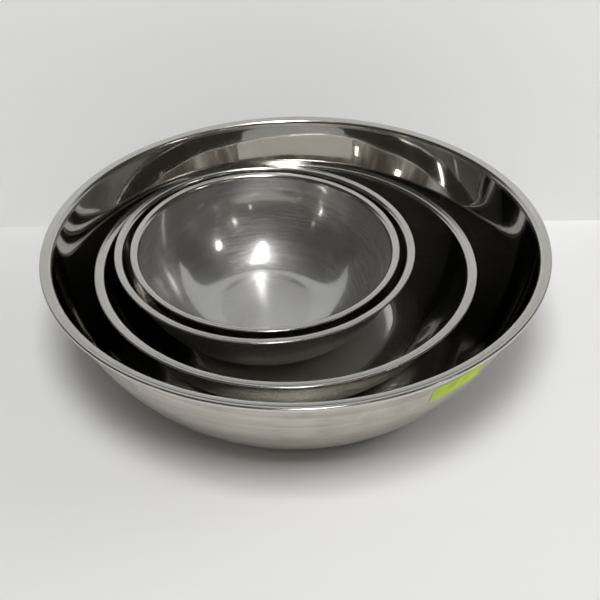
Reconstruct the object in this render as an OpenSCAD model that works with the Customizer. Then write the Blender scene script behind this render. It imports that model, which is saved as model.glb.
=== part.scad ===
// Nest of four stainless steel mixing bowls.
// Millimetres, +Z up. The origin is the centre of the largest bowl's flat
// underside, on the surface that the nest stands on. +Y points away from the
// front of the nest. Every bowl is one spun sheet: flat floor, rounded corner,
// one long wall arc, a tight bend out to a flat lip and a rolled edge. The
// three inner bowls lie a little off centre and a little tilted, each one
// riding up the corner of the bowl that holds it.

/* [General] */
// Which piece to draw
// Sheet thickness of every bowl
sheet = 0.9; // [0.8:0.05:1]

/* [Largest bowl] */
// Rim diameter, over the rolled edge
largest_d = 451; // [446:1:460]
// Overall height
largest_h = 118; // [116:0.5:122]
// Width of the lip, from the wall's top to the outer edge
largest_lip = 9.6; // [9:0.1:11]
// Radius of the long wall arc
largest_wall_r = 201; // [198:1:206]
// Slope of the wall where it meets the lip
largest_wall_a = 77.9; // [76:0.1:79]
// Radius of the corner between floor and wall
largest_foot_r = 30; // [24:1:36]
// Radius of the rolled edge
largest_bead = 1.9; // [1.7:0.1:2.4]

/* [Large bowl] */
// Rim diameter, over the rolled edge
large_d = 352; // [349:1:353]
// Overall height
large_h = 75.4; // [74:0.1:76]
// Width of the lip, from the wall's top to the outer edge
large_lip = 9; // [8.5:0.1:9.5]
// Radius of the long wall arc
large_wall_r = 150; // [147:1:153]
// Slope of the wall where it meets the lip
large_wall_a = 72; // [71:0.1:73]
// Radius of the corner between floor and wall
large_foot_r = 45; // [43:1:48]
// Radius of the rolled edge
large_bead = 1.6; // [1.4:0.1:2.1]

/* [Medium bowl] */
// Rim diameter, over the rolled edge
medium_d = 281.2; // [280:0.2:282]
// Overall height
medium_h = 75.8; // [74.5:0.1:76]
// Width of the lip, from the wall's top to the outer edge
medium_lip = 7.6; // [7.3:0.1:8]
// Radius of the long wall arc
medium_wall_r = 118; // [116:1:120]
// Slope of the wall where it meets the lip
medium_wall_a = 77; // [76:0.1:78]
// Radius of the corner between floor and wall
medium_foot_r = 50; // [47:1:53]
// Radius of the rolled edge
medium_bead = 1.5; // [1.3:0.1:2]

/* [Small bowl] */
// Rim diameter, over the rolled edge
small_d = 251.8; // [250:0.2:253]
// Overall height
small_h = 75.1; // [74:0.1:75.4]
// Width of the lip, from the wall's top to the outer edge
small_lip = 7; // [6.8:0.1:7.4]
// Radius of the long wall arc
small_wall_r = 112; // [110:1:114]
// Slope of the wall where it meets the lip
small_wall_a = 77; // [76:0.1:78]
// Radius of the corner between floor and wall
small_foot_r = 62; // [58:1:66]
// Radius of the rolled edge
small_bead = 1.4; // [1.3:0.1:2]

/* [Sticker] */
// Thickness of the paper
sticker_t = 0.25; // [0.2:0.05:0.4]
// Where the sticker starts, degrees round the bowl from +X
sticker_from = -60; // [-80:0.5:-45]
// Degrees that the sticker covers
sticker_sweep = 15.5; // [12:0.5:24]
// Wall slope at the sticker's lower edge
sticker_low = 66.5; // [60:0.5:68]
// Wall slope at the sticker's upper edge
sticker_high = 73; // [72:0.5:75]

/* [Hidden] */
$fn = 180;
bend_r = 3;      // underside radius of the bend between wall and lip
roll_a = 250;    // how far round the edge is rolled
glue = 0.03;     // the sticker's glue, which isn't modelled
foot_n = 8;      // straight runs that stand for each arc of the section
wall_n = 18;
bend_n = 5;
roll_n = 14;

// where each inner bowl's floor stands, and how it leans: [x, y, z], tilt, towards
large_at = [-10.05, 23.39, 3.2];
large_tilt = 1.097;
large_dir = -43.2;
medium_at = [-29.62, 44.82, 6.05];
medium_tilt = 1.789;
medium_dir = -63.4;
small_at = [-29.39, 44.73, 7.36];
small_tilt = 1.789;
small_dir = -63.4;

steel_polished = [0.72, 0.71, 0.69];
steel_satin = [0.66, 0.65, 0.63];
paper_green = [0.62, 0.93, 0.16];

// points on an arc about c, radius r; directions are measured from straight
// down, so a direction is also the slope of a wall that curves up from a floor
function arc(c, r, from, to, n) =
    [for (i = [0:n]) let (a = from + (to - from) * i / n)
        [c[0] + r * sin(a), c[1] - r * cos(a)]];
// the same without its first point, to carry on from the arc before it
function arc_on(c, r, from, to, n) =
    [for (i = [1:n]) let (a = from + (to - from) * i / n)
        [c[0] + r * sin(a), c[1] - r * cos(a)]];

// centre of the wall arc, and the slope where the corner hands over to it
function arc_z(h, wr, wa) = h - sheet - bend_r * (1 - cos(wa)) + wr * cos(wa);
function arc_x(d, lip, wr, wa) = d / 2 - lip - wr * sin(wa);
function meet_a(h, wr, wa, fr) = acos((arc_z(h, wr, wa) - fr) / (wr - fr));

// one bowl's sheet, cut through from the axis to the rolled edge and back
module section(d, h, lip, wr, wa, fr, bead) {
    a0 = meet_a(h, wr, wa, fr);
    wall = [arc_x(d, lip, wr, wa), arc_z(h, wr, wa)];
    foot = [wall[0] + (wr - fr) * sin(a0), fr];
    bend = [d / 2 - lip + bend_r * sin(wa), h - sheet - bend_r];
    roll = [d / 2 - bead, h - bead];
    polygon(concat(
        [[0, 0]],
        arc(foot, fr, 0, a0, foot_n),
        arc_on(wall, wr, a0, wa, wall_n),
        arc_on(bend, bend_r, wa - 180, -180, bend_n),
        arc(roll, bead - sheet, 180, 180 - roll_a, roll_n),
        arc(roll, bead, 180 - roll_a, 180, roll_n),
        arc(bend, bend_r + sheet, -180, wa - 180, bend_n),
        arc_on(wall, wr - sheet, wa, a0, wall_n),
        arc_on(foot, fr - sheet, a0, 0, foot_n),
        [[0, sheet]]));
}

module bowl(d, h, lip, wr, wa, fr, bead) {
    rotate_extrude() section(d, h, lip, wr, wa, fr, bead);
}

module seat(at, tilt, dir) {
    translate(at) rotate([0, 0, dir]) rotate([0, tilt, 0]) children();
}

module largest_bowl() {
    color(steel_polished)
        bowl(largest_d, largest_h, largest_lip, largest_wall_r, largest_wall_a,
             largest_foot_r, largest_bead);
}

module large_bowl() {
    color(steel_polished) seat(large_at, large_tilt, large_dir)
        bowl(large_d, large_h, large_lip, large_wall_r, large_wall_a,
             large_foot_r, large_bead);
}

module medium_bowl() {
    color(steel_polished) seat(medium_at, medium_tilt, medium_dir)
        bowl(medium_d, medium_h, medium_lip, medium_wall_r, medium_wall_a,
             medium_foot_r, medium_bead);
}

module small_bowl() {
    color(steel_satin) seat(small_at, small_tilt, small_dir)
        bowl(small_d, small_h, small_lip, small_wall_r, small_wall_a,
             small_foot_r, small_bead);
}

// a blank paper sticker that lies on the largest bowl's outer wall
module blank_sticker() {
    wall = [arc_x(largest_d, largest_lip, largest_wall_r, largest_wall_a),
            arc_z(largest_h, largest_wall_r, largest_wall_a)];
    color(paper_green) rotate([0, 0, sticker_from])
        rotate_extrude(angle = sticker_sweep)
            polygon(concat(
                arc(wall, largest_wall_r + glue, sticker_low, sticker_high, 8),
                arc(wall, largest_wall_r + glue + sticker_t, sticker_high, sticker_low, 8)));
}

largest_bowl();
large_bowl();
medium_bowl();
small_bowl();
blank_sticker();
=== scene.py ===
"""Looks for a nest of four spun stainless steel mixing bowls with a blank green sticker."""

import math

import bpy
import numpy as np
from mathutils import Matrix, Vector


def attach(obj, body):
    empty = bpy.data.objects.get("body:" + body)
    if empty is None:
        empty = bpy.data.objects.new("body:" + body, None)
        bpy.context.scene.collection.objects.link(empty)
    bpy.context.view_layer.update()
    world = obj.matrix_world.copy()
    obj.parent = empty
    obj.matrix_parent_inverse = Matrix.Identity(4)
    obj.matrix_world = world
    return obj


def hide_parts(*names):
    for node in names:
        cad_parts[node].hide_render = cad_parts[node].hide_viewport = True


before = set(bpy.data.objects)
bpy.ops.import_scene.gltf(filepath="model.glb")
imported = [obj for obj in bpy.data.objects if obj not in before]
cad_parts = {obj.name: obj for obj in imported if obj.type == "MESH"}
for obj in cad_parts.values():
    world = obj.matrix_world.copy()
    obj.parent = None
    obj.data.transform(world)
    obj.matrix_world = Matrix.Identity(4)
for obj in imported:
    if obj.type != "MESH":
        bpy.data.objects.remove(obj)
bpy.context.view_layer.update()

# ---------------------------------------------------------------- the sheet
SHEET = 0.0009
BEND = 0.003
BOWLS = {
    "largest_bowl": dict(
        body="largest", slot="steel_outer", d=0.451, h=0.118, lip=0.0096, wr=0.201,
        wa=77.9, fr=0.030, bead=0.0016, crease=0.00006, at=(0, 0, 0), tilt=0.0,
        lean=0.0, warp=0.00022, seed=3,
    ),
    "large_bowl": dict(
        body="large", slot="steel_polished", d=0.352, h=0.0754, lip=0.009, wr=0.150,
        wa=72.0, fr=0.045, bead=0.0013, crease=0.00004, at=(-0.01005, 0.02339, 0.0032),
        tilt=1.097, lean=-43.2, warp=0.00014, seed=11, dish=-0.0005,
    ),
    "medium_bowl": dict(
        body="medium", slot="steel_polished", d=0.2812, h=0.0758, lip=0.0076, wr=0.118,
        wa=77.0, fr=0.050, bead=0.0012, crease=0.00003, at=(-0.02962, 0.04482, 0.00605),
        tilt=1.789, lean=-63.4, warp=0.00010, seed=23,
    ),
    "small_bowl": dict(
        body="small", slot="steel_brushed", d=0.2518, h=0.0751, lip=0.007, wr=0.112,
        wa=77.0, fr=0.062, bead=0.0011, crease=0.00003, at=(-0.02939, 0.04473, 0.00736),
        tilt=1.789, lean=-63.4, warp=0.00008, seed=31, dish=0.0006,
    ),
}


def arc(c, r, a, b, n, first=True):
    """Points on an arc; directions are measured from straight down, in degrees."""
    out = []
    for i in range(0 if first else 1, n + 1):
        t = math.radians(a + (b - a) * i / n)
        out.append((c[0] + r * math.sin(t), c[1] - r * math.cos(t)))
    return out


def geometry(b):
    wa = math.radians(b["wa"])
    cz = b["h"] - SHEET - BEND * (1 - math.cos(wa)) + b["wr"] * math.cos(wa)
    cx = b["d"] / 2 - b["lip"] - b["wr"] * math.sin(wa)
    a0 = math.degrees(math.acos((cz - b["fr"]) / (b["wr"] - b["fr"])))
    foot = (cx + (b["wr"] - b["fr"]) * math.sin(math.radians(a0)), b["fr"])
    bend = (b["d"] / 2 - b["lip"] + BEND * math.sin(wa), b["h"] - SHEET - BEND)
    return (cx, cz), foot, bend, a0


def section(b):
    """The bowl's cut from the axis under the floor, out round the rolled edge and back to the axis: points, and for each span what it is (0 outside, 1 inside, 2 rim)."""
    wall, foot, bend, a0 = geometry(b)
    # a hair inside the true outline
    R, H, wa, rb = b["d"] / 2 - 0.00007, b["h"], b["wa"], b["bead"]
    roll = (R - rb, H - rb)
    pts, kind = [], []

    def add(points, k):
        for p in points:
            pts.append(p)
            kind.append(k)

    fx = foot[0]
    add([(0.0, 0.0)] + [(fx * t, 0.0) for t in (0.12, 0.3, 0.5, 0.7, 0.85, 0.94)], 0)
    add(arc(foot, b["fr"], 0, a0, 16), 0)
    add(arc(wall, b["wr"], a0, wa, 44, False), 0)
    add(arc(bend, BEND, wa - 180, -180, 8, False), 0)
    # the edge is turned under and pressed to a squarish hem, level with the lip
    add([(roll[0] - rb - 0.0006, H - SHEET)], 2)
    hem = []
    for i in range(37):
        w = math.radians(-168 + (90 + 168) * i / 36)
        cw, sw = math.cos(w), math.sin(w)
        hem.append((roll[0] + rb * math.copysign(abs(cw) ** 0.62, cw), roll[1] + rb * math.copysign(abs(sw) ** 0.62, sw)))
    add(hem, 2)
    c, e = b["crease"], R - 2 * rb
    # a shallow crease shows on the lip where the hem ends
    add([(e + 0.0005, H - c * 0.15), (e + 0.0002, H - c * 0.7), (e, H - c), (e - 0.0002, H - c * 0.7), (e - 0.0005, H - c * 0.15),
         (e - 0.0010, H)], 2)
    x1 = bend[0] + 0.0002
    add([(x1 + (e - 0.0012 - x1) * t, H) for t in (0.75, 0.4, 0.1)], 2)
    add(arc(bend, BEND + SHEET, -180, wa - 180, 12, False), 2)
    add(arc(wall, b["wr"] - SHEET, wa, a0, 56, False), 1)
    add(arc(foot, b["fr"] - SHEET, a0, 0, 20, False), 1)
    add([(fx * t, SHEET) for t in (0.94, 0.85, 0.7, 0.6, 0.5, 0.4, 0.3, 0.12)] + [(0.0, SHEET)], 1)
    # the floor's top is a little dished
    for i, (x, z) in enumerate(pts):
        if kind[i] == 1 and x < fx + 0.030:
            up = min(1, max(0, (x / fx - 0.35) / 0.65)) ** 2 if x < fx else 1
            down = 0 if x < fx else (x - fx) / 0.030
            pts[i] = (x, z + b.get("dish", 0) * up * (1 - down * down * (3 - 2 * down)))
    return pts, kind


def warp(b, theta, x, z, wall_share):
    """How far the sheet stands off its true shape: slow waves pressed in by use, none at the floor and the rim."""
    rng = np.random.default_rng(b["seed"])
    out = np.zeros_like(theta)
    for k in range(9):
        m = rng.integers(2, 13)
        ph = rng.uniform(0, 2 * math.pi)
        q = rng.uniform(6, 22)
        w = rng.uniform(0.35, 1.0) / (1 + 0.12 * m)
        out += w * np.sin(m * theta + ph + q * z / b["h"] * 0.35) * np.cos(q * z / b["h"] * 0.25 + ph * 1.7)
    # a few small knocks
    for k in range(7):
        t0, z0 = rng.uniform(0, 2 * math.pi), rng.uniform(0.35, 0.85) * b["h"]
        dx = np.angle(np.exp(1j * (theta - t0))) * b["d"] * 0.42
        s = rng.uniform(0.006, 0.014)
        out += rng.uniform(-1.3, 1.3) * np.exp(-(dx ** 2 + (z - z0) ** 2) / (2 * s * s))
    return out * b["warp"] * wall_share * 0.5


def lathe(name, b, around=320):
    pts, kind = section(b)
    P = np.array(pts)
    n = len(P)
    # distance along the section, for the materials
    s = np.concatenate([[0], np.cumsum(np.hypot(*np.diff(P, axis=0).T))])
    th = np.arange(around) * 2 * math.pi / around
    inner = slice(1, n - 1)
    X, Z = P[inner, 0][:, None], P[inner, 1][:, None]
    T = th[None, :] + 0 * X
    Xf, Zf = X + 0 * T, Z + 0 * T
    share = np.clip((Zf - 0.2 * b["h"]) / (0.3 * b["h"]), 0, 1) * np.clip((0.985 * b["h"] - Zf) / (0.22 * b["h"]), 0, 1)
    share = share * share * (3 - 2 * share)
    off = warp(b, T, Xf, Zf, share)
    wall, foot, bend, a0 = geometry(b)
    slope = np.arctan2(Xf - wall[0], wall[1] - Zf)
    Xf = Xf - off * np.sin(slope)
    Zf = Zf + off * np.cos(slope)
    V = np.stack([Xf * np.cos(T), Xf * np.sin(T), Zf], -1).reshape(-1, 3)
    V = np.concatenate([[[0, 0, P[0, 1]]], V, [[0, 0, P[-1, 1]]]])
    rings = n - 2
    last = len(V) - 1
    faces, mats, uvs = [], [], []

    def idx(i, j):
        return 1 + i * around + (j % around)

    for j in range(around):
        faces.append((0, idx(0, j + 1), idx(0, j)))
        mats.append(kind[0])
        uvs += [((j + 0.5) / around, s[0]), ((j + 1) / around, s[1]), (j / around, s[1])]
    for i in range(rings - 1):
        k = kind[i + 1] if kind[i + 1] == kind[i + 2] else max(kind[i + 1], kind[i + 2])
        v0, v1 = s[i + 1], s[i + 2]
        for j in range(around):
            faces.append((idx(i, j), idx(i, j + 1), idx(i + 1, j + 1), idx(i + 1, j)))
            mats.append(k)
            uvs += [(j / around, v0), ((j + 1) / around, v0), ((j + 1) / around, v1), (j / around, v1)]
    for j in range(around):
        faces.append((last, idx(rings - 1, j), idx(rings - 1, j + 1)))
        mats.append(kind[-1])
        uvs += [((j + 0.5) / around, s[-1]), (j / around, s[-2]), ((j + 1) / around, s[-2])]
    me = bpy.data.meshes.new(name)
    M = np.array(place(b))
    W = V @ M[:3, :3].T + M[:3, 3]
    me.from_pydata([tuple(v) for v in W], [], faces)
    # each point's place in the bowl's own frame, for the materials
    own = me.attributes.new("own_frame", "FLOAT_VECTOR", "POINT")
    own.data.foreach_set("vector", V.astype(np.float32).ravel())
    me.polygons.foreach_set("material_index", mats)
    me.polygons.foreach_set("use_smooth", [True] * len(faces))
    uv = me.uv_layers.new(name="sheet")
    uv.data.foreach_set("uv", np.array(uvs, np.float32).ravel())
    me.validate()
    me.update()
    ob = bpy.data.objects.new(name, me)
    bpy.context.scene.collection.objects.link(ob)
    return ob


def place(b):
    return (
        Matrix.Translation(Vector(b["at"]))
        @ Matrix.Rotation(math.radians(b["lean"]), 4, "Z")
        @ Matrix.Rotation(math.radians(b["tilt"]), 4, "Y")
    )


# ---------------------------------------------------------------- materials
class Nodes:
    """Short names for building a node tree."""

    def __init__(self, name):
        self.mat = bpy.data.materials.new(name)
        self.mat.use_nodes = True
        self.t = self.mat.node_tree
        self.t.nodes.clear()
        self.out = self.t.nodes.new("ShaderNodeOutputMaterial")
        self.bsdf = self.t.nodes.new("ShaderNodeBsdfPrincipled")
        self.t.links.new(self.bsdf.outputs[0], self.out.inputs[0])

    def n(self, kind, **props):
        nd = self.t.nodes.new("ShaderNode" + kind)
        for k, v in props.items():
            setattr(nd, k, v)
        return nd

    def put(self, socket, value):
        if isinstance(value, bpy.types.NodeSocket):
            self.t.links.new(value, socket)
        else:
            socket.default_value = value

    def math(self, op, a, b=None, c=None, clamp=False):
        nd = self.n("Math", operation=op, use_clamp=clamp)
        for i, v in enumerate((a, b, c)):
            if v is not None:
                self.put(nd.inputs[i], v)
        return nd.outputs[0]

    def vec(self, x, y, z):
        nd = self.n("CombineXYZ")
        for i, v in enumerate((x, y, z)):
            self.put(nd.inputs[i], v)
        return nd.outputs[0]

    def noise(self, vector, scale=1.0, detail=2.0, rough=0.5, distortion=0.0):
        nd = self.n("TexNoise")
        self.put(nd.inputs["Vector"], vector)
        self.put(nd.inputs["Scale"], scale)
        self.put(nd.inputs["Detail"], detail)
        self.put(nd.inputs["Roughness"], rough)
        self.put(nd.inputs["Distortion"], distortion)
        return nd.outputs[0]

    def ramp(self, value, lo, hi, out_lo=0.0, out_hi=1.0, smooth=True):
        nd = self.n("MapRange")
        if smooth:
            nd.interpolation_type = "SMOOTHSTEP"
        self.put(nd.inputs[0], value)
        for i, v in enumerate((lo, hi, out_lo, out_hi)):
            self.put(nd.inputs[i + 1], v)
        return nd.outputs[0]

    def mix(self, fac, a, b):
        nd = self.n("Mix", data_type="RGBA")
        self.put(nd.inputs[0], fac)
        self.put(nd.inputs[6], a)
        self.put(nd.inputs[7], b)
        return nd.outputs[2]

    def bump(self, height, distance, normal=None, strength=1.0):
        nd = self.n("Bump")
        self.put(nd.inputs["Strength"], strength)
        self.put(nd.inputs["Distance"], distance)
        self.put(nd.inputs["Height"], height)
        if normal is not None:
            self.put(nd.inputs["Normal"], normal)
        return nd.outputs[0]

    def set(self, name, value):
        self.put(self.bsdf.inputs[name], value)


def lathe_coords(m):
    """Point in the bowl's own frame, direction round the bowl, and distance along the sheet's section."""
    own = m.n("Attribute", attribute_name="own_frame")
    sep = m.n("SeparateXYZ")
    m.put(sep.inputs[0], own.outputs["Vector"])
    x, y, z = sep.outputs
    r = m.math("MAXIMUM", m.math("SQRT", m.math("ADD", m.math("MULTIPLY", x, x), m.math("MULTIPLY", y, y))), 1e-5)
    dx, dy = m.math("DIVIDE", x, r), m.math("DIVIDE", y, r)
    uv = m.n("UVMap", uv_map="sheet")
    sv = m.n("SeparateXYZ")
    m.put(sv.inputs[0], uv.outputs[0])
    return own.outputs["Vector"], dx, dy, sv.outputs[1], r, z


def streaks(m, dx, dy, s, round_, across, detail=2.0, rough=0.6, shift=0.0):
    """Noise drawn out round the bowl: round_ features per turn, across features per metre of section."""
    v = m.vec(
        m.math("MULTIPLY", dx, round_ / 6.28),
        m.math("MULTIPLY", dy, round_ / 6.28),
        m.math("ADD", m.math("MULTIPLY", s, across), shift),
    )
    return m.noise(v, 1.0, detail, rough)


def scratches(m, point, scale, seed, width=0.045, stretch=9.0, turn=0.6):
    """Thin random lines, as fine scratches from use."""
    mp = m.n("Mapping")
    m.put(mp.inputs["Vector"], point)
    mp.inputs["Rotation"].default_value = (turn * 0.7, turn * 1.3, turn + seed)
    mp.inputs["Scale"].default_value = (scale * stretch, scale, scale)
    mp.inputs["Location"].default_value = (seed * 3.1, seed * 1.7, seed * 0.9)
    n = m.noise(mp.outputs[0], 1.0, 1.0, 0.5, 0.35)
    d = m.math("ABSOLUTE", m.math("SUBTRACT", n, 0.5))
    return m.ramp(d, 0.0, width, 1.0, 0.0)


def steel(name, colour, rough, brushed, share, aniso, swirl=0.08, smudge=0.05, dull=0.0, ring=1.0, lumps=1.0, specks=0.0, cut=1.0, mark=0.0, stain=0.0, wide_cut=1.0, flat=0.0, flat_rough=0.0, middle=0.0, middle_share=0.0, turned=False, seed=0.0):
    """Worn stainless steel: clear metal of one roughness crossed by finer grain lines of another, share being how much of it is grain."""
    m = Nodes(name)
    p, dx, dy, s, r, z = lathe_coords(m)
    # grain finer than can be seen: which of the two finishes a point has
    dust = m.n("TexWhiteNoise", noise_dimensions="3D")
    big = m.n("VectorMath", operation="SCALE")
    m.put(big.inputs[0], p)
    m.put(big.inputs[3], 9000.0)
    m.put(dust.inputs["Vector"], big.outputs[0])
    fine = dust.outputs[0]
    mid = streaks(m, dx, dy, s, 16, 900, 2.0, 0.6, seed + 5)
    wide = streaks(m, dx, dy, s, 5, 110, 2.0, 0.5, seed + 9)
    cloud = m.noise(p, 9.0, 4.0, 0.6, 0.4)
    blot = m.noise(p, 34.0, 4.0, 0.65, 0.6)
    sc1 = scratches(m, p, 85.0, seed + 1.0, 0.012 * wide_cut, 0.14, 0.5)
    sc2 = scratches(m, p, 120.0, seed + 2.2, 0.011 * wide_cut, 0.18, 1.9)
    sc3 = scratches(m, p, 160.0, seed + 3.7, 0.010 * wide_cut, 0.2, 2.9)
    lines = m.math("MAXIMUM", sc1, m.math("MAXIMUM", sc2, sc3))
    if turned:
        # most of its scratches run round the bowl
        lines = m.math("MULTIPLY", sc2, 0.35)
        for round_, across, width in ((9.0, 330.0, 0.022), (14.0, 560.0, 0.026), (6.0, 800.0, 0.030)):
            t = m.math("ABSOLUTE", m.math("SUBTRACT", streaks(m, dx, dy, s, round_, across, 1.0, 0.5, seed + across), 0.5))
            lines = m.math("MAXIMUM", lines, m.ramp(t, 0.0, width, 1.0, 0.0))
    # where use has scratched it most
    used = m.ramp(cloud, 0.42, 0.66)
    lines = m.math("MULTIPLY", lines, m.math("MULTIPLY_ADD", used, 0.75, 0.25))
    haze = m.ramp(m.math("ADD", m.math("MULTIPLY", cloud, 0.55), m.math("MULTIPLY", blot, 0.45)), 0.40, 0.66)
    part = m.math("MULTIPLY_ADD", m.math("SUBTRACT", mid, 0.5), share * 0.5, share)
    part = m.math("MULTIPLY_ADD", m.math("SUBTRACT", wide, 0.5), share * 0.5, part)
    part = m.math("MULTIPLY_ADD", m.math("SUBTRACT", cloud, 0.5), share * 0.9, part)
    grain = m.math("LESS_THAN", fine, part)
    if middle:
        half = m.math("LESS_THAN", fine, m.math("ADD", part, middle_share))
        ro = m.math("MULTIPLY_ADD", half, middle - rough, rough)
        ro = m.math("MULTIPLY_ADD", grain, brushed - middle, ro)
    else:
        ro = m.math("MULTIPLY_ADD", grain, brushed - rough, rough)
    ro = m.math("MULTIPLY_ADD", lines, swirl, ro)
    ro = m.math("MULTIPLY_ADD", haze, smudge, ro)
    if flat:
        # the floor is turned, not polished
        ro = m.math("ADD", ro, m.ramp(r, flat * 0.93, flat * 1.02, flat_rough, 0.0))
    # colour: a little darker and warmer where it is hazy or stained
    dark = tuple(c * (0.88 - dull) for c in colour[:2]) + (colour[2] * (0.83 - dull),)
    col = m.mix(m.math("MULTIPLY", haze, 0.5), (*colour, 1), (*dark, 1))
    lite = tuple(min(1, c * 1.06) for c in colour)
    col = m.mix(m.math("MULTIPLY", m.ramp(mid, 0.5, 0.75), 0.4), col, (*lite, 1))
    if mark:
        col = m.mix(m.math("MULTIPLY", lines, mark), col, (0.86, 0.86, 0.86, 1))
    if stain:
        # grain lines and stains that show as tone
        tone = m.math("MULTIPLY_ADD", m.ramp(mid, 0.40, 0.62), 0.45, m.math("MULTIPLY", m.ramp(wide, 0.40, 0.60), 0.55))
        tone = m.math("MULTIPLY", m.math("MULTIPLY_ADD", haze, 0.5, tone), stain)
        col = m.mix(tone, col, (*(c * 0.62 for c in dark[:2]), dark[2] * 0.56, 1))
    if specks:
        vo = m.n("TexVoronoi", feature="F1")
        m.put(vo.inputs["Vector"], p)
        m.put(vo.inputs["Scale"], 210.0)
        dot = m.ramp(vo.outputs["Distance"], 0.05, 0.13, 1.0, 0.0)
        pick = m.n("SeparateColor")
        m.put(pick.inputs[0], vo.outputs["Color"])
        some = m.ramp(pick.outputs[0], 1 - specks, 1 - specks + 0.01, 0.0, 1.0)
        px = m.n("SeparateXYZ")
        m.put(px.inputs[0], p)
        # dried drops, most of them low on the left
        area = m.math("MULTIPLY", m.ramp(m.noise(p, 11.0, 3.0, 0.6, 0.0), 0.50, 0.62), m.ramp(px.outputs[0], -0.02, -0.12))
        dot = m.math("MULTIPLY", m.math("MULTIPLY", dot, some), area)
        col = m.mix(dot, col, (0.60, 0.58, 0.54, 1))
        m.set("Metallic", m.math("SUBTRACT", 1.0, dot))
        ro = m.math("MAXIMUM", ro, m.math("MULTIPLY", dot, 0.6))
    else:
        m.set("Metallic", 1.0)
    m.set("Roughness", m.math("MINIMUM", ro, 0.7))
    m.set("Base Color", col)
    # relief: grain lines, scratches and a slow unevenness of the spun sheet
    nrm = m.bump(mid, 0.0000007 * ring)
    nrm = m.bump(wide, 0.000004 * ring, nrm)
    nrm = m.bump(m.math("MULTIPLY", lines, -1.0), 0.0000025 * cut, nrm)
    if lumps:
        nrm = m.bump(blot, 0.000006 * lumps, nrm)
    m.set("Normal", nrm)
    m.set("Anisotropic", aniso)
    m.set("Anisotropic Rotation", 0.25)
    tan = m.n("Tangent", direction_type="RADIAL", axis="Z")
    m.set("Tangent", tan.outputs[0])
    return m.mat


STEEL = (0.61, 0.60, 0.578)
polished = steel("steel_polished_inside", STEEL, 0.022, 0.11, 0.15, 0.3, 0.05, 0.015, specks=0.10, seed=1.0)
polished_b = steel("steel_polished_second", STEEL, 0.035, 0.20, 0.25, 0.3, 0.05, 0.03, flat=geometry(BOWLS["large_bowl"])[1][0], flat_rough=0.38, seed=4.0)
satin_out = steel("steel_satin_outside", (0.585, 0.548, 0.503), 0.15, 0.34, 0.5, 0.35, 0.12, 0.12, dull=0.08, ring=4.0, lumps=0.6, stain=0.42, seed=7.0)
# painted shade: the outsides of the inner bowls, hidden in the gaps between the bowls, are given darker steel than the
# rest so the gaps read dark
satin_shaded_inner = steel("steel_satin_inner_outside", (0.44, 0.43, 0.41), 0.22, 0.44, 0.5, 0.35, 0.08, 0.04, dull=0.05, ring=0.8, lumps=0.2, seed=9.0)
rim_steel = steel("steel_rim", (0.62, 0.607, 0.583), 0.17, 0.17, 0.0, 0.0, 0.03, 0.03, ring=0.3, lumps=0.0, cut=0.3, seed=12.0)
brushed = steel("steel_brushed_inside", (0.63, 0.63, 0.63), 0.06, 0.46, 0.40, 0.40, 0.14, 0.04, ring=1.6, cut=1.2, mark=0.30, wide_cut=1.0, turned=True, middle=0.20, middle_share=0.27, flat=geometry(BOWLS["small_bowl"])[1][0], flat_rough=0.12, seed=15.0)

bowls = {}
for name, b in BOWLS.items():
    ob = lathe("visual_" + name, b)
    inside = {"largest_bowl": polished, "large_bowl": polished_b, "medium_bowl": polished_b, "small_bowl": brushed}[name]
    ob.data.materials.append(satin_out if name == "largest_bowl" else satin_shaded_inner)
    ob.data.materials.append(inside)
    ob.data.materials.append(rim_steel)
    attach(ob, b["body"])
    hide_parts(name)
    bowls[name] = ob


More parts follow.
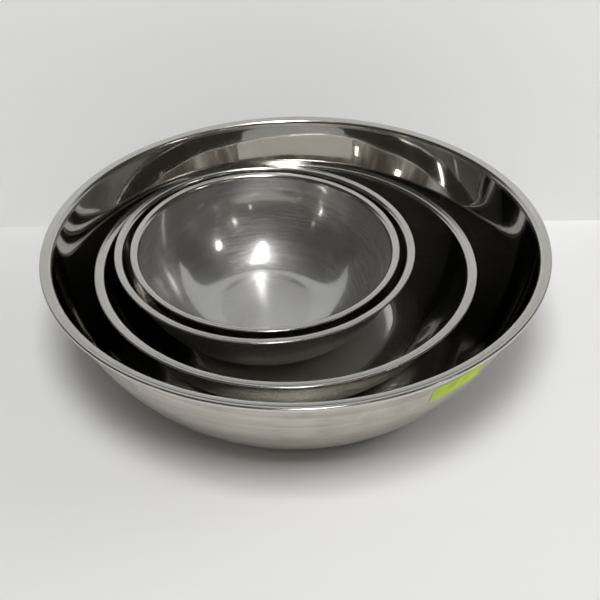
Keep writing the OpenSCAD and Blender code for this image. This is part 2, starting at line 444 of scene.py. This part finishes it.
# ---------------------------------------------------------------- sticker
def sticker():
    b = BOWLS["largest_bowl"]
    wall, foot, bend, a0 = geometry(b)
    t0, t1 = math.radians(-59.9), math.radians(-44.6)
    lo, hi = 66.6, 72.9
    nu, nv = 70, 34
    rng = np.random.default_rng(5)
    crinkles = [(rng.uniform(20, 90), rng.uniform(-60, 60), rng.uniform(0, 6.28), rng.uniform(0.3, 1)) for _ in range(7)]
    top, bot = [], []
    for iv in range(nv + 1):
        for iu in range(nu + 1):
            u, v = iu / nu, iv / nv
            # rounded corners
            x, y = 2 * u - 1, 2 * v - 1
            th = t0 + (t1 - t0) * (0.5 + 0.5 * x * (1 - 0.045 * abs(y) ** 10))
            sl = math.radians(lo + (hi - lo) * (0.5 + 0.5 * y * (1 - 0.12 * abs(x) ** 10)))
            w = sum(a * math.sin(p * u + q * v + f) for p, q, f, a in crinkles) / 4
            lift = 0.00006 + 0.00005 * (w + 1) * 0.5
            edge = max(abs(2 * u - 1) ** 14, abs(2 * v - 1) ** 14)
            lift += 0.00007 * edge * (0.5 + 0.5 * math.sin(13 * u + 5 * v))
            for lst, t in ((bot, lift), (top, lift + 0.00013)):
                r = b["wr"] + t
                x, z = wall[0] + r * math.sin(sl), wall[1] - r * math.cos(sl)
                lst.append((x * math.cos(th), x * math.sin(th), z))
    n = (nu + 1) * (nv + 1)
    faces, uvs = [], []

    def g(iu, iv):
        return iv * (nu + 1) + iu

    for iv in range(nv):
        for iu in range(nu):
            q = (g(iu, iv), g(iu + 1, iv), g(iu + 1, iv + 1), g(iu, iv + 1))
            faces.append(q)
            faces.append(tuple(n + i for i in reversed(q)))
    rim = [g(i, 0) for i in range(nu)] + [g(nu, j) for j in range(nv)]
    rim += [g(nu - i, nv) for i in range(nu)] + [g(0, nv - j) for j in range(nv)]
    for k in range(len(rim)):
        a, c = rim[k], rim[(k + 1) % len(rim)]
        faces.append((c, a, n + a, n + c))
    me = bpy.data.meshes.new("visual_blank_sticker")
    me.from_pydata(top + bot, [], faces)
    me.polygons.foreach_set("use_smooth", [len(f) == 4 and (max(f) < n or min(f) >= n) for f in faces])
    uv = me.uv_layers.new(name="paper")
    for poly in me.polygons:
        for li in poly.loop_indices:
            k = me.loops[li].vertex_index % n
            uv.data[li].uv = ((k % (nu + 1)) / nu, (k // (nu + 1)) / nv)
    me.validate()
    me.update()
    ob = bpy.data.objects.new("visual_blank_sticker", me)
    bpy.context.scene.collection.objects.link(ob)
    return ob


def paper():
    m = Nodes("paper_green")
    tc = m.n("TexCoord")
    p = tc.outputs["Object"]
    fibre = m.noise(p, 900.0, 4.0, 0.7, 0.2)
    patch = m.noise(p, 60.0, 3.0, 0.6, 0.3)
    fold_and_shade = scratches(m, p, 55.0, 4.0, 0.05, 0.35, 0.9)
    col = m.mix(m.ramp(patch, 0.35, 0.7), (0.50, 0.72, 0.030, 1), (0.64, 0.80, 0.06, 1))
    # painted shade: the fold lines are darkened with the shade that lies in their creases
    col = m.mix(m.math("MULTIPLY", fold_and_shade, 0.45), col, (0.38, 0.54, 0.02, 1))
    col = m.mix(m.math("MULTIPLY", fibre, 0.14), col, (0.76, 0.86, 0.20, 1))
    m.set("Base Color", col)
    m.set("Roughness", m.ramp(fibre, 0.3, 0.7, 0.5, 0.66))
    m.set("Specular IOR Level", 0.35)
    nrm = m.bump(fibre, 0.00003)
    nrm = m.bump(m.math("MULTIPLY", fold_and_shade, -1.0), 0.0001, nrm)
    m.set("Normal", nrm)
    return m.mat


tag = sticker()
tag.data.materials.append(paper())
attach(tag, "largest")
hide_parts("blank_sticker")


# ---------------------------------------------------------------- stage
def quad(name, corners, mat):
    me = bpy.data.meshes.new(name)
    me.from_pydata(corners, [], [tuple(range(len(corners)))])
    me.update()
    ob = bpy.data.objects.new(name, me)
    bpy.context.scene.collection.objects.link(ob)
    ob.data.materials.append(mat)
    return ob


def pale(name, colour, rough=0.55, spec=0.3, mottled=0.02, one_sided=False, own=0.0, slope=0.0):
    m = Nodes(name)
    tc = m.n("TexCoord")
    p = tc.outputs["Object"]
    a = m.noise(p, 3.0, 4.0, 0.6, 0.2)
    mp = m.n("Mapping")
    m.put(mp.inputs["Vector"], p)
    mp.inputs["Scale"].default_value = (1.2, 60.0, 60.0)
    b = m.noise(mp.outputs[0], 1.0, 3.0, 0.6, 0.1)
    d = tuple(c * (1 - 2.2 * mottled) for c in colour)
    col = m.mix(m.math("MULTIPLY_ADD", a, 0.6, m.math("MULTIPLY", b, 0.4)), (*colour, 1), (*d, 1))
    # painted shade: slope darkens the colour towards -x, the side where less light falls
    if slope:
        px = m.n("SeparateXYZ")
        m.put(px.inputs[0], p)
        col = m.mix(m.ramp(px.outputs[0], -0.45, 0.45, slope, 0.0), col, (0, 0, 0, 1))
    m.set("Base Color", col)
    m.set("Roughness", rough)
    m.set("Specular IOR Level", spec)
    m.set("Normal", m.bump(b, 0.00008))
    if own:
        m.set("Emission Color", col)
        m.set("Emission Strength", own)
    if one_sided:
        geo = m.n("NewGeometry")
        clear = m.n("BsdfTransparent")
        mx = m.n("MixShader")
        m.put(mx.inputs[0], geo.outputs["Backfacing"])
        m.put(mx.inputs[1], m.bsdf.outputs[0])
        m.put(mx.inputs[2], clear.outputs[0])
        m.put(m.out.inputs[0], mx.outputs[0])
    return m.mat


# painted shade: the table is a little darker towards the left, where less light falls
floor_mat = pale("stage_table", (0.86, 0.858, 0.855), 0.5, 0.25, slope=0.03)
wall_mat = pale("stage_wall", (0.73, 0.73, 0.725), 0.7, 0.15, 0.012, True, 0.17)
# the table that the steel mirrors ends nearer than the ground that the camera sees
X0, X1, Y0 = -0.95, 1.15, -0.85
floor = quad("stage_floor", [(X0, Y0, 0), (X1, Y0, 0), (X1, 3, 0), (X0, 3, 0)], floor_mat)
for k, rest in enumerate((
    [(-3, -3, 0), (3, -3, 0), (3, Y0, 0), (-3, Y0, 0)],
    [(-3, Y0, 0), (X0, Y0, 0), (X0, 3, 0), (-3, 3, 0)],
    [(X1, Y0, 0), (3, Y0, 0), (3, 3, 0), (X1, 3, 0)],
)):
    quad("stage_floor_rest_%d" % k, rest, floor_mat).visible_glossy = False


def wall_at(x, z):
    """The back board: its foot close behind the nest, leaning back a little."""
    return 0.2015 - 0.014 * x + 0.27 * z


TOP = 0.28
# its face looks at the nest, and from behind it can be seen through
back = quad("stage_back", [(x, wall_at(x, z), z) for x, z in ((-0.44, TOP), (-0.44, 0), (0.335, 0), (0.335, TOP))], wall_mat)


def glow(name, corners, colour, strength):
    """A card that only shows in reflections."""
    m = Nodes(name)
    m.set("Base Color", (0, 0, 0, 1))
    m.set("Emission Color", (*colour, 1))
    m.set("Emission Strength", strength)
    m.set("Specular IOR Level", 0.0)
    ob = quad(name, corners, m.mat)
    ob.visible_camera = False
    ob.visible_diffuse = False
    ob.visible_shadow = False
    return ob


def toward(az, el, dist, centre=(-0.02, 0.03, 0.08)):
    """A point at a bearing from +Y towards +X and a height angle, both in degrees."""
    a, e = math.radians(az), math.radians(el)
    return Vector(centre) + Vector((math.sin(a) * math.cos(e), math.cos(a) * math.cos(e), math.sin(e))) * dist


def lamp(name, w, h, radiance, colour, soft):
    """A soft lamp lights the stage and doesn't show in the steel; the others only show in the steel."""
    li = bpy.data.lights.new(name, "AREA")
    li.shape = "RECTANGLE"
    li.size = w
    li.size_y = h
    li.energy = radiance * math.pi * w * h
    li.color = colour
    ob = bpy.data.objects.new(name, li)
    bpy.context.scene.collection.objects.link(ob)
    ob.visible_camera = False
    ob.visible_glossy = not soft
    ob.visible_diffuse = soft
    return ob


def panel(name, az, el, dist, w, h, radiance, colour=(1, 1, 1), soft=False):
    """A panel turned to the nest, at a bearing and height angle from it."""
    ob = lamp(name, w, h, radiance, colour, soft)
    loc = toward(az, el, dist)
    ob.location = loc
    ob.rotation_mode = "QUATERNION"
    ob.rotation_quaternion = (Vector((-0.02, 0.03, 0.08)) - loc).to_track_quat("-Z", "Y")
    return ob


def tube(name, a, b, z, w, radiance, colour=(1, 1, 1)):
    """A long fitting that hangs level from one point to another and faces down."""
    ob = lamp(name, w, math.dist(a, b), radiance, colour, False)
    ob.location = ((a[0] + b[0]) / 2, (a[1] + b[1]) / 2, z)
    ob.rotation_euler = (0, 0, math.atan2(b[1] - a[1], b[0] - a[0]) - math.pi / 2)
    return ob


panel("room_key", 180, 65, 2.4, 0.8, 0.9, 18.5, (1.0, 1.0, 0.995), soft=True)
panel("room_right", 90, 30, 1.6, 0.8, 0.6, 3.8, (1.0, 1.0, 0.995), soft=True)
WARM = (1.0, 0.93, 0.82)
tube("light_top", (0.12, 0.75), (0.12, -1.20), 2.45, 0.20, 17, (1.0, 0.99, 0.97))
tube("light_right", (2.50, -1.25), (2.05, -0.70), 2.45, 0.24, 14, (1.0, 0.97, 0.92))
panel("light_front_right", 145, 31, 3.0, 0.14, 0.40, 6, (1.0, 0.96, 0.90))
panel("light_front_left", -125, 14, 3.0, 0.14, 0.34, 5, (1.0, 0.95, 0.86))
panel("light_front_left_high", -128, 27, 3.0, 0.10, 0.20, 2.0, WARM)
panel("light_front_left_low", -149, 7.5, 3.2, 0.08, 0.24, 4.5, WARM)
panel("light_front_left_end", -148, 1.5, 3.2, 0.08, 0.10, 3.0, WARM)
panel("light_front_small", 165, 20, 3.2, 0.07, 0.26, 3.5, WARM)
# a pale thing stands on the near side, and pale room shows over the back board
glow("card_front", [(-0.60, -1.02, 0.36), (-0.60, -1.02, -0.01), (0.575, -1.02, -0.01), (0.575, -1.02, 0.36)], (0.60, 0.575, 0.52), 0.85)
glow("card_back", [(-3.2, 3.0, 3.2), (-3.2, 3.0, 0.0), (3.2, 3.0, 0.0), (3.2, 3.0, 3.2)], (0.64, 0.64, 0.635), 1.0)

world = bpy.data.worlds.new("studio")
bpy.context.scene.world = world
world.use_nodes = True


class WorldNodes(Nodes):
    def __init__(self, tree):
        self.t = tree
        self.t.nodes.clear()

    def background(self, colour, strength):
        bg = self.n("Background")
        self.put(bg.inputs[0], colour)
        self.put(bg.inputs[1], strength)
        return bg.outputs[0]

    def choose(self, fac, a, b):
        mx = self.n("MixShader")
        for i, v in enumerate((fac, a, b)):
            self.put(mx.inputs[i], v)
        return mx.outputs[0]


w = WorldNodes(world.node_tree)
wsep = w.n("SeparateXYZ")
w.put(wsep.inputs[0], w.n("TexCoord").outputs["Generated"])
wx, wy, wz = wsep.outputs
wr = w.math("MAXIMUM", w.math("SQRT", w.math("ADD", w.math("MULTIPLY", wx, wx), w.math("MULTIPLY", wy, wy))), 1e-4)
ux, uy = w.math("DIVIDE", wx, wr), w.math("DIVIDE", wy, wr)
# the dark room the steel mirrors: upright things low down on the near side, little above
upright = w.noise(w.vec(w.math("MULTIPLY", ux, 5.0), w.math("MULTIPLY", uy, 5.0), w.math("MULTIPLY", wz, 0.8)), 1.0, 5.0, 0.72)
low = w.math("MULTIPLY", w.ramp(wz, 0.12, 0.40, 1.0, 0.0), w.ramp(uy, -0.35, 0.25, 1.0, 0.0))
stuff = w.math("MULTIPLY", low, w.ramp(upright, 0.40, 0.66, 0.04, 0.34))
tint = w.mix(w.ramp(upright, 0.45, 0.62), (1.0, 0.86, 0.70, 1), (1.0, 0.96, 0.90, 1))
room = w.background(tint, w.math("ADD", stuff, 0.045))
even = w.background((0.98, 0.99, 1.0, 1), 0.14)
seen = w.background((0.66, 0.66, 0.655, 1), 1.0)
path = w.n("LightPath")
wout = w.n("OutputWorld")
w.put(wout.inputs[0], w.choose(path.outputs["Is Camera Ray"], w.choose(path.outputs["Is Diffuse Ray"], room, even), seen))

# ---------------------------------------------------------------- camera
pitch, yaw, roll = 0.649018237, 0.00369907360, -0.0172633257
fwd = Vector((math.sin(yaw) * math.cos(pitch), math.cos(yaw) * math.cos(pitch), -math.sin(pitch)))
rt = Vector((math.cos(yaw), -math.sin(yaw), 0))
up = rt.cross(fwd)
rt2 = math.cos(roll) * rt + math.sin(roll) * up
up2 = -math.sin(roll) * rt + math.cos(roll) * up
cam_data = bpy.data.cameras.new("camera")
cam_data.sensor_width = 36
cam_data.lens = 72
cam_data.clip_start = 0.02
cam = bpy.data.objects.new("camera", cam_data)
bpy.context.scene.collection.objects.link(cam)
rot = Matrix((rt2, up2, -fwd)).transposed()
cam.matrix_world = Matrix.Translation(Vector((0.0, -0.884701, 0.720160))) @ rot.to_4x4()
bpy.context.scene.camera = cam

sc = bpy.context.scene
sc.view_settings.view_transform = "Standard"
sc.cycles.glossy_bounces = 4
sc.cycles.max_bounces = 14

bpy.context.view_layer.update()
